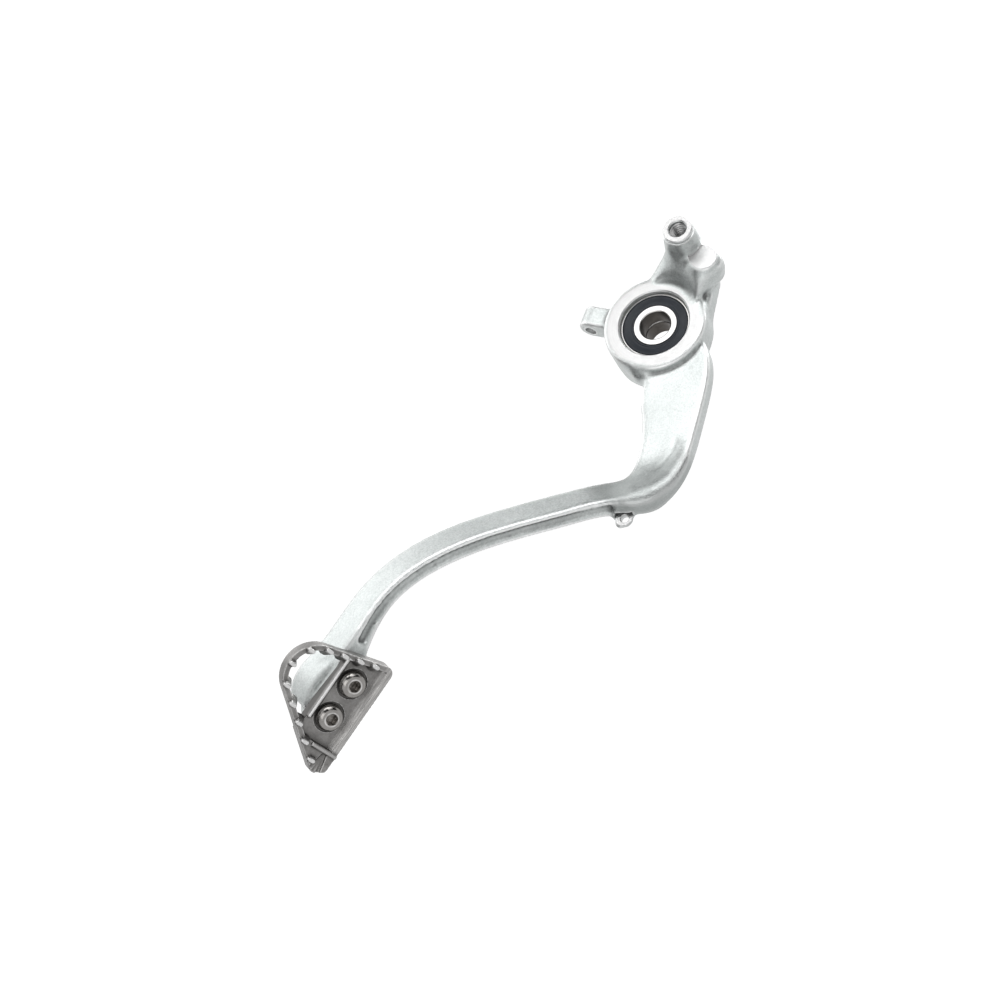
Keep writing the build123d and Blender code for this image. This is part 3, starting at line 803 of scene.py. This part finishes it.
forging = lever_blank()
print("blank has", len(forging.data.polygons), "faces")

# %% [markdown]
# ## Shaping in the die
#
# The die keeps the root of the rear arm off the face of the hub, so a cone about the pivot is cut away there. The
# inner edge of the front arm meets the hub in a straight corner, which a short prism cuts. Both cuts are made in a
# rough skin, and a second remesh and smooth then rounds them as the die would.

# %% Die
CONE_FOOT = HUB_FACE + 0.05
CONE_TOP = 31.0
CONE_PROFILE = [
    (0, CONE_FOOT), (17.8, CONE_FOOT), (18.4, 11.0), (19.6, 13.5), (21.5, 17.0), (23.3, 19.6), (25.0, 21.5),
    (25.3, CONE_TOP), (0, CONE_TOP),
]
ARM_CORNER = ((18.5, 12.8), (25.9, 21.7), (32.0, 16.6), (25.0, 7.2))
ARM_CORNER_HALF = 12.0
FORGING_VOXEL_MM = 0.6
ROUGH_ROUNDS = 1
DIE_ROUNDS = 5


def web_cutter():
    """The cone about the pivot and the straight corner of the front arm."""
    mesh = bmesh.new()
    lathe(mesh, CONE_PROFILE, HUB_PLACE, FINE_STEPS)
    prism(mesh, ARM_CORNER, -ARM_CORNER_HALF, ARM_CORNER_HALF)
    return new_piece("web_cutter", mesh)


soften(forging, FORGING_VOXEL_MM, ROUGH_ROUNDS)
cut(forging, web_cutter())
soften(forging, FORGING_VOXEL_MM, DIE_ROUNDS)

# %% [markdown]
# ## Sculpting the corners and the knee
#
# Four places blend more softly than the smooth alone makes them: the foot of the web, the root of the front arm, the
# corner of the pad and the rim of the knee. The long outer edge of the bar is rounded where it bends most. Then the
# knee gets its broad rise and the fine crease where the arm turns into the bar.

# %% Strokes on the forging
# Each relaxed stroke has a path, the width of its brush and its rounds, and each pressed one a path, depth and width.
RELAXED = {
    "web foot": ([(-21.0, -14.0, -15.0), (-23.5, -16.5, -6.0), (-22.0, -14.0, 4.0), (-19.0, -12.0, 9.0)], 6.0, 40),
    "arm root": ([(19.5, -6.0, 12.0), (19.5, 4.0, 12.0), (22.0, 4.0, 6.5), (22.0, -6.0, 6.5), (20.5, -2.0, 9.0)],
                 3.6, 120),
    "pad corner": ([(-34.4, -18.4, -6.0), (-33.2, -20.8, -5.8)], 2.4, 30),
    "knee rim": ([(52.0, -8.0, 52.0), (45.0, -7.5, 55.0), (38.0, -7.0, 56.0), (30.0, -7.0, 54.0)], 5.0, 30),
}
PRESSED = {
    "knee rise": ([(52.0, -8.0, 50.0), (46.0, -7.5, 54.0), (39.0, -7.0, 56.5), (31.0, -7.0, 55.5)], -2.4, 7.0),
    "knee crease": ([(26.5, -7.0, 44.0), (30.4, -7.1, 47.0), (35.7, -7.3, 48.4), (40.4, -7.4, 48.6)], 0.3, 1.5),
}
BAR_START = 58.0
OUTWARD = -0.35
EDGE_BEND = 0.2
EDGE_ROUNDS = 10

for path, width_mm, rounds in RELAXED.values():
    relax(forging, brush(points_of(forging), path, width_mm), rounds)
outer_edge = (points_of(forging)[:, 0] > BAR_START) & (normals_of(forging)[:, 1] < OUTWARD)
relax(forging, np.clip(bend_of(forging) / EDGE_BEND, 0, 1) * outer_edge, EDGE_ROUNDS)
for path, depth_mm, width_mm in PRESSED.values():
    press(forging, path, depth_mm, width_mm)
print("relaxed:", list(RELAXED), "pressed:", list(PRESSED))

# %% [markdown]
# ## Machining the forging
#
# Now the holes are bored and the faces turned, so their edges stay crisp: the bearing housing with its lip, the
# tapped boss with a turned collar and a groove below it, the half-moon pad milled beside the boss, and the two eyes.
# All the tools are one cutter, because one boolean is quicker and cleaner than five.

# %% Machining
LIP_R = 12.6
BEARING_END = 8.0
HOUSING_CHAMFER = 0.5
CLEAR = 0.4
BOSS_COLLAR = 1.5
BOSS_GROOVE = 0.45
BOSS_EDGE = 0.3
BOSS_MOUTH = 0.5
GROOVE_SLOPE = (0.7, 0.6)
DRILL_TIP = 1.6
PAD = (-29.4, -19.8, -0.7)
PAD_R = 5.3
PAD_STEPS = 64
PAD_ROOM = 5.0
COLUMN_R = 7.2
LEASH_HOLE_R = 1.6
LEASH_MOUTH = 0.25
LEASH_FACE_R = LEASH_EYE_R + 0.8
LEASH_TOOL_END = -6.0
BOSS_TOOL_TOP = 3.0
TOOL_ROOM = 2.0


def pad_outline():
    """The milled half-moon beside the boss: a circle that stops where the boss column stands."""
    outline = []
    for step in range(PAD_STEPS):
        angle = 2 * math.pi * step / PAD_STEPS
        x, z = PAD[0] + PAD_R * math.cos(angle), PAD[2] + PAD_R * math.sin(angle)
        reach = math.hypot(x - BOSS[0], z - BOSS[2])
        if reach < COLUMN_R:
            x = BOSS[0] + (x - BOSS[0]) * COLUMN_R / reach
            z = BOSS[2] + (z - BOSS[2]) * COLUMN_R / reach
        outline.append((x, z))
    return outline


def lever_cutter():
    """Every machined hole and face of the lever as one tool, with small chamfers at the mouths."""
    mesh = bmesh.new()
    back, mouth_r = -HUB_BACK - TOOL_ROOM, HOUSING_R + HOUSING_CHAMFER + CLEAR
    lathe(mesh, [(0, back), (LIP_R, back), (LIP_R, -BEARING_END), (HOUSING_R, -BEARING_END),
                 (HOUSING_R, HUB_FACE - HOUSING_CHAMFER), (mouth_r, HUB_FACE + CLEAR), (0, HUB_FACE + CLEAR)],
          HUB_PLACE, FINE_STEPS)
    slope_out, slope_down = GROOVE_SLOPE
    collar_foot, room_r = -BOSS_COLLAR - slope_down, BOSS_R + TOOL_ROOM
    lathe(mesh, [(0, -BOSS_HOLE_DEPTH - DRILL_TIP), (BOSS_HOLE_R, -BOSS_HOLE_DEPTH), (BOSS_HOLE_R, -BOSS_MOUTH),
                 (BOSS_HOLE_R + BOSS_MOUTH, 0), (BOSS_R - BOSS_EDGE, 0), (BOSS_R, -BOSS_EDGE),
                 (BOSS_R, BOSS_EDGE - BOSS_COLLAR), (BOSS_R - BOSS_GROOVE, -BOSS_COLLAR),
                 (BOSS_R + slope_out, collar_foot), (room_r, collar_foot), (room_r, BOSS_TOOL_TOP),
                 (0, BOSS_TOOL_TOP)], BOSS_PLACE)
    prism(mesh, pad_outline(), PAD[1], PAD[1] - PAD_ROOM)
    lathe(mesh, [(0, LEASH_TOOL_END), (LEASH_HOLE_R, LEASH_TOOL_END), (LEASH_HOLE_R, -LEASH_MOUTH),
                 (LEASH_HOLE_R + LEASH_MOUTH, 0), (LEASH_FACE_R, 0), (LEASH_FACE_R, TOOL_ROOM), (0, TOOL_ROOM)],
          LEASH_PLACE, SMALL_STEPS)
    cylinder(mesh, SPRING_HOLE_R, -2 * SPRING_EYE_HALF, 2 * SPRING_EYE_HALF, SPRING_PLACE, SMALL_STEPS)
    return new_piece("lever_cutter", mesh)


cut(forging, lever_cutter())

# %% [markdown]
# ## Painting and dressing the forging
#
# The finish needs to know which points lie on machined faces, and which on the skin past the knee's crease, which
# gets painted shade. Both follow from the points and their normals. The machined faces are also shaded flat, so that
# they meet the soft skin at a clean line.

# %% Forging paint
FACE_TOLERANCE = 0.06
HUB_FACE_R = 19.8
PAD_FACE = (PAD, PAD_R + 0.1)
TURNED_FACES = (((0, -HUB_FACE, 0), HUB_FACE_R), (BOSS, BOSS_R), PAD_FACE, (LEASH_EYE, LEASH_EYE_R + 0.5))
KNEE_DOWN = (0.62, 0.0, 0.785)
KNEE_LINE = 55.5
KNEE_END = 66.0
KNEE_BLEND = 5.0
INBOARD_FADE = 0.6
FORGING_CRISP = 40


def on_face(points, middle, reach):
    """Which points lie on a flat outboard face, within reach of its middle."""
    x, y, z = middle
    near = np.hypot(points[:, 0] - x, points[:, 2] - z) < reach
    return near & (np.abs(points[:, 1] - y) < FACE_TOLERANCE)


points = points_of(forging)
machined = np.any([on_face(points, *face) for face in TURNED_FACES], axis=0)
paint(forging, "machined", machined)
# the milled pad, which the finish paints lighter as a painted highlight
paint(forging, "milled", on_face(points, *PAD_FACE))
# painted shade on the skin past the knee's crease, fading before the bar and on inboard faces
past_crease = np.clip((points @ KNEE_DOWN - KNEE_LINE) / KNEE_BLEND, 0, 1)
before_bar = np.clip((KNEE_END - points[:, 0]) / KNEE_BLEND, 0, 1)
off_inboard = np.clip(1 - normals_of(forging)[:, 1] / INBOARD_FADE, 0, 1)
paint(forging, "knee_shade", past_crease * before_bar * off_inboard)
paint_bend(forging)
smooth_shading(forging, FORGING_CRISP)
for face in forging.data.polygons:
    face.use_smooth = not all(machined[point] for point in face.vertices)
dress(forging, "pedal_lever", "lever", blasted_aluminium)

# %% [markdown]
# ## The tread's frame
#
# The tread leans outboard, pitches and turns against the pedal. All its details are easier to place in a frame of its
# own: x along the two screws, y across the tread and z up out of its face.

# %% Tread frame
TREAD_ORIGIN = (183.5, -29.7, 43.2)
TREAD_LEAN, TREAD_PITCH, TREAD_TURN = (math.radians(angle) for angle in (30.0, 4.0, 12.5))

tread_normal = Vector((-math.sin(TREAD_PITCH), -math.cos(TREAD_PITCH) * math.sin(TREAD_LEAN),
                       math.cos(TREAD_PITCH) * math.cos(TREAD_LEAN)))
tread_forward = (Vector(FORWARD) - tread_normal * tread_normal.x).normalized()
tread_inboard = tread_normal.cross(tread_forward)
tread_along = tread_forward * math.cos(TREAD_TURN) + tread_inboard * math.sin(TREAD_TURN)
TREAD_PLACE = axes_matrix(TREAD_ORIGIN, tread_along, tread_normal)


def in_tread(x, y, z):
    """Placement at a point of the tread's own frame, in millimetres."""
    return TREAD_PLACE @ Matrix.Translation(Vector((x, y, z)) * MM)


print("tread faces", [round(v, 3) for v in tread_normal])

# %% [markdown]
# ## The tread casting
#
# The tread is cast in one piece with its teeth, and a casting has no sharp inner corners either. A finer remesh gives
# it the soft look of metal that ran into a mould, and keeps the teeth apart. A rounded lip is added along the bridge
# before the remesh, and the two screw seats are spot-faced after it, which leaves the dark ring round each head.

# %% Tread
SCREW_SPACING = 14.6
HEAD_R = 5.2
SEAT_RING_R = 6.0
SEAT_RING_DEPTH = 0.5
SEAT_ROOM = 3.0
BRIDGE_START = (-14.6, -7.0, 0.1)
BRIDGE_Y = BRIDGE_START[1]
BRIDGE_LENGTH = 25.6
BRIDGE_LIP_R = 0.85
BRIDGE_STEPS = 24
TREAD_VOXEL_MM = 0.28
TREAD_ROUNDS = 2

tread_mesh = bmesh.new()
tread_mesh.from_mesh(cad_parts["toe_piece"].data)
along_bridge = in_tread(*BRIDGE_START) @ Matrix.Rotation(math.pi / 2, 4, "Y")
cylinder(tread_mesh, BRIDGE_LIP_R, 0, BRIDGE_LENGTH, along_bridge, BRIDGE_STEPS)
tread = new_piece("tread_casting", tread_mesh)
soften(tread, TREAD_VOXEL_MM, TREAD_ROUNDS)
seat_mesh = bmesh.new()
for end in (-1, 1):
    lathe(seat_mesh, [(HEAD_R, -SEAT_RING_DEPTH), (SEAT_RING_R, -SEAT_RING_DEPTH), (SEAT_RING_R, SEAT_ROOM),
                      (HEAD_R, SEAT_ROOM)], in_tread(end * SCREW_SPACING / 2, 0, 0))
cut(tread, new_piece("seat_cutter", seat_mesh))

# %% [markdown]
# ## Painting and dressing the tread
#
# In the tread's own frame the rubbed, lit and shaded places are simple bands: the worn tooth tops, the sloped rim,
# a painted highlight on the lip along the bridge and painted shade on the wall under it. Their long borders fade, so
# that no hard line shows there.

# %% Tread paint
TOOTH_TOP = 4.4
RIM_Y = 8.65
RIM_END = 17.0
LIP_END = 15.0
WALL_END = 17.0
WALL_Y = 11.5
TREAD_CRISP = 50


def ease(value, low, high):
    """Zero at one value, one at another, and straight in between."""
    return np.clip((value - low) / (high - low), 0, 1)


to_tread = np.array(TREAD_PLACE.inverted())
flat = points_of(tread) @ to_tread[:3, :3].T + to_tread[:3, 3] / MM
along, across, up = flat.T
paint(tread, "flat", flat, "FLOAT_VECTOR")
paint(tread, "rubbed", ease(up, TOOTH_TOP - 1.6, TOOTH_TOP - 0.2))
rim = ease(across, RIM_Y - 2.0, RIM_Y - 1.4) * ease(up, 0.1, 0.5)
paint(tread, "rim", rim * ease(-along, -RIM_END - 0.5, -RIM_END + 0.5))
# painted highlight along the top of the bridge's lip
lip = ease(-np.abs(across - BRIDGE_Y), -0.9, -0.5) * ease(up, 0.2, 0.5)
paint(tread, "lip", lip * (np.abs(along) < LIP_END))
# painted shade on the wall under the bridge
wall = ease(-across, 0.5 - BRIDGE_Y, 0.8 - BRIDGE_Y) * ease(-across, WALL_Y + 0.5, WALL_Y - 0.5)
paint(tread, "wall_shade", wall * ease(-up, 0.0, 0.4) * (np.abs(along) < WALL_END))
paint_bend(tread)
smooth_shading(tread, TREAD_CRISP)
dress(tread, "toe_piece", "lever", cast_steel)

# %% [markdown]
# ## Polished steel for the screws
#
# The two button heads are polished and mirror the studio. Tools have rubbed the rim of each socket bright, and
# painted shade darkens each socket and each head near its seat. The screws keep their CAD meshes, so these bands are
# made by nodes from the distance to each screw's axis and the height over the tread instead of by paint.

# %% Screw finish
SOCKET_R = 2.35
# painted shade for the head near its seat
SCREW_SHADE = grey(0.04, 0.08)


def screw_finish():
    """Polished steel with worn socket rims."""
    f = Finish("screw_steel_polished")
    smudge = f.noise(0.5, 4.0)
    steel = f.mix(smudge, grey(0.17, 0.05), grey(0.33, 0.03))
    x, y, z = (f.along(TREAD_ORIGIN, axis) for axis in TREAD_PLACE.to_3x3().col)
    aside = f.math("SUBTRACT", f.math("ABSOLUTE", x), SCREW_SPACING / 2)
    reach = f.math("SQRT", f.math("ADD", f.math("POWER", aside, 2.0), f.math("POWER", y, 2.0)))
    # painted shade on the head near its seat
    steel = f.mix(f.ramp(z, 0.9, 0.1, 0.0, 0.8), steel, SCREW_SHADE)
    inner_side = f.ramp(reach, SOCKET_R - 0.1, SOCKET_R + 0.1)
    outer_side = f.ramp(reach, SOCKET_R + 0.65, SOCKET_R + 0.35)
    patches = f.ramp(f.noise(0.35), 0.35, 0.6, 0.2, 0.9)
    rubbed = f.math("MULTIPLY", f.math("MULTIPLY", inner_side, outer_side), patches)
    steel = f.mix(rubbed, steel, grey(0.62, 0.01))
    # painted shade inside the hex socket
    socket = f.mix(f.ramp(smudge, 0.35, 0.65), grey(0.03, 0.12), grey(0.24, 0.06))
    f.set(Base_Color=f.mix(f.ramp(reach, SOCKET_R + 0.05, SOCKET_R - 0.1), steel, socket))
    f.set(Metallic=1.0, Roughness=f.ramp(smudge, 0.3, 0.7, 0.12, 0.26))
    f.set(Normal=f.bump(f.noise(3.0, 2.0), 0.008, 0.3, f.soft_edge(0.15)))
    return f.material


screw_steel = screw_finish()
print("finish:", screw_steel.name, "nodes:", len(screw_steel.node_tree.nodes))

# %% [markdown]
# ## Finishes of the bearings and the thread
#
# The bearing rings are ground, with fine rings of tool marks about the pivot axis, and their bores are darker. The
# balls are polished, the seals are moulded rubber and the hidden cages are pale plastic. The cut thread is darker and
# plainer than the blasted skin round it. Each is one or two noises, since little of it is seen.

# %% Bearing and thread finishes
# the ring's colour darkens towards the bore between these radii
BORE_DARK_R = 6.08
BORE_FADE_R = 6.25


def ground_finish():
    """Ground steel of the bearing rings, darker in the bore."""
    f = Finish("ring_steel_ground")
    reach = f.from_axis(PIVOT, OUTBOARD)
    marks = f.rings(reach, 9.0)
    face = f.mix(marks, grey(0.44, 0.02), grey(0.58, 0.01))
    bore_dark = f.mix(f.noise(0.4, 3.0), (0.030, 0.026, 0.023, 1.0), (0.085, 0.076, 0.068, 1.0))
    f.set(Base_Color=f.mix(f.ramp(reach, BORE_FADE_R * MM, BORE_DARK_R * MM), face, bore_dark))
    f.set(Metallic=1.0, Roughness=f.ramp(marks, 0.3, 0.7, 0.24, 0.38))
    f.set(Normal=f.bump(marks, 0.006, 0.4, f.soft_edge(0.12)))
    return f.material


def seal_finish():
    """Moulded black rubber with a faint bloom."""
    f = Finish("seal_rubber_moulded")
    skin = f.noise(1.6, 4.0)
    f.set(Base_Color=f.mix(f.noise(0.25, 3.0), (0.011, 0.014, 0.019, 1.0), (0.026, 0.032, 0.042, 1.0)))
    f.set(Metallic=0.0, Roughness=f.ramp(skin, 0.3, 0.7, 0.38, 0.55), Specular_IOR_Level=0.3)
    f.set(Normal=f.bump(skin, 0.02, 0.3))
    return f.material


def plain_finish(name, skin, dark, light, metallic, smooth, rough):
    """One noise that steers both the colour and the roughness."""
    f = Finish(name)
    cloud = f.noise(*skin)
    f.set(Base_Color=f.mix(cloud, dark, light))
    f.set(Metallic=metallic, Roughness=f.ramp(cloud, 0.3, 0.7, smooth, rough))
    return f.material


ground_steel = ground_finish()
rubber = seal_finish()
ball_steel = plain_finish("ball_steel_polished", (0.6, 3.0), grey(0.62), grey(0.72), 1.0, 0.05, 0.12)
cage_plastic = plain_finish(
    "cage_plastic_moulded", (0.9, 3.0), (0.70, 0.66, 0.55, 1.0), (0.80, 0.76, 0.66, 1.0), 0.0, 0.4, 0.55
)
cut_aluminium = plain_finish("thread_aluminium_cut", (0.8, 4.0), grey(0.30), grey(0.52), 0.9, 0.25, 0.45)

NODE_FINISHES = {
    "toe_screws": screw_steel,
    "outer_ring": ground_steel,
    "inner_ring": ground_steel,
    "balls": ball_steel,
    "seal": rubber,
    "cage": cage_plastic,
}
for name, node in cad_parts.items():
    for ending, finish in NODE_FINISHES.items():
        if name.endswith(ending):
            node.data.materials.clear()
            node.data.materials.append(finish)
            print(name, "takes", finish.name)

# %% [markdown]
# ## Bearing seals
#
# A rubber seal is not a flat washer: it is moulded over a steel plate, with a raised lip that runs on the inner ring,
# a shallow step in the middle and a bead that snaps into the outer ring. A lathe profile gives each of the four seals
# its steps, and every seal faces away from its own balls.

# %% Seals
SEAL_PROFILE = [
    (8.58, -0.35), (8.58, 0.05), (8.85, 0.33), (9.35, 0.35), (9.65, 0.12), (10.6, 0.1), (10.75, 0.2), (11.9, 0.22),
    (12.15, 0.34), (12.65, 0.34), (12.9, 0.08), (13.2, 0.05), (13.2, -0.35),
]
SEALS = {
    "outboard_outer_seal": (-7.45, -1),
    "outboard_inner_seal": (-0.55, 1),
    "inboard_outer_seal": (0.55, -1),
    "inboard_inner_seal": (7.45, 1),
}
TURNED_CRISP = 35
for node, (y, facing) in SEALS.items():
    seal_mesh = bmesh.new()
    lathe(seal_mesh, SEAL_PROFILE, axes_matrix((0, y, 0), FORWARD, (0, facing, 0)), FINE_STEPS)
    seal = new_piece(node.replace("_seal", "_moulded_seal"), seal_mesh)
    smooth_shading(seal, TURNED_CRISP)
    dress(seal, node, "lever", rubber)

# %% [markdown]
# ## The thread in the boss
#
# The pushrod hole is tapped. A thread is one ridge wound round the wall. Blender's screw modifier could wind it, but
# the ends would stand out square. So a short profile is swept along a helix by hand, runs out softly into the wall at
# both ends and is closed there. It starts just below the chamfer.

# %% Thread
THREAD_PITCH = 1.25
THREAD_DEPTH = 0.55
THREAD_TURNS = 11
THREAD_STEPS = 40
THREAD_START = -1.2
THREAD_FOOT_R = BOSS_HOLE_R + 0.15
THREAD_FOOT_HALF = 0.56
THREAD_CREST_HALF = 0.12
THREAD_BLUNT = 0.05


def thread_ridge():
    """One ridge along a helix, with its foot sunk in the wall of the hole."""
    mesh = bmesh.new()
    loops = []
    for step in range(THREAD_TURNS * THREAD_STEPS + 1):
        turn = step / THREAD_STEPS
        run_out = min(1.0, turn, THREAD_TURNS - turn)
        crest = BOSS_HOLE_R - THREAD_DEPTH * max(run_out, THREAD_BLUNT)
        middle = THREAD_START - turn * THREAD_PITCH
        profile = ((THREAD_FOOT_R, THREAD_FOOT_HALF), (crest, THREAD_CREST_HALF), (crest, -THREAD_CREST_HALF),
                   (THREAD_FOOT_R, -THREAD_FOOT_HALF))
        places = [on_circle(radius, 2 * math.pi * turn, middle + height) for radius, height in profile]
        loops.append([mesh.verts.new(BOSS_PLACE @ place) for place in places])
    for low, high in zip(loops, loops[1:]):
        for side in range(len(low)):
            after = (side + 1) % len(low)
            mesh.faces.new((low[side], low[after], high[after], high[side]))
    mesh.faces.new(loops[0])
    mesh.faces.new(loops[-1])
    return new_piece("boss_thread", mesh)


thread = thread_ridge()
smooth_shading(thread, TURNED_CRISP)
thread.data.materials.append(cut_aluminium)
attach(thread, "lever")
print("thread turns:", THREAD_TURNS, "faces:", len(thread.data.polygons))

# %% [markdown]
# ## Finishes of the floor and the cards
#
# The floor is matt white. For the camera and for reflections it also glows a little, which lifts it to the white of
# the background while the part's soft shadow stays on it. The cards are matt black and have no gloss at all.

# %% Floor and card finishes
FLOOR_GLOW = 0.93


def floor_finish():
    """Matt white that the camera and reflections see a little brighter."""
    f = Finish("floor_white")
    glow = f.ramp(seen_or_mirrored(f.tree), 0.0, 1.0, 0.0, FLOOR_GLOW)
    f.set(Base_Color=grey(0.8), Roughness=0.9, Emission_Color=grey(1.0), Emission_Strength=glow)
    f.set(Specular_IOR_Level=0.0)
    return f.material


def card_finish():
    """Matt black card."""
    f = Finish("card_black_matt")
    f.set(Base_Color=f.mix(f.noise(0.02), grey(0.008), grey(0.015)), Roughness=1.0, Specular_IOR_Level=0.0)
    return f.material


floor.data.materials.append(floor_finish())
black_card = card_finish()
for card in cards:
    card.data.materials.append(black_card)
print("stage finishes:", floor.data.materials[0].name, black_card.name)
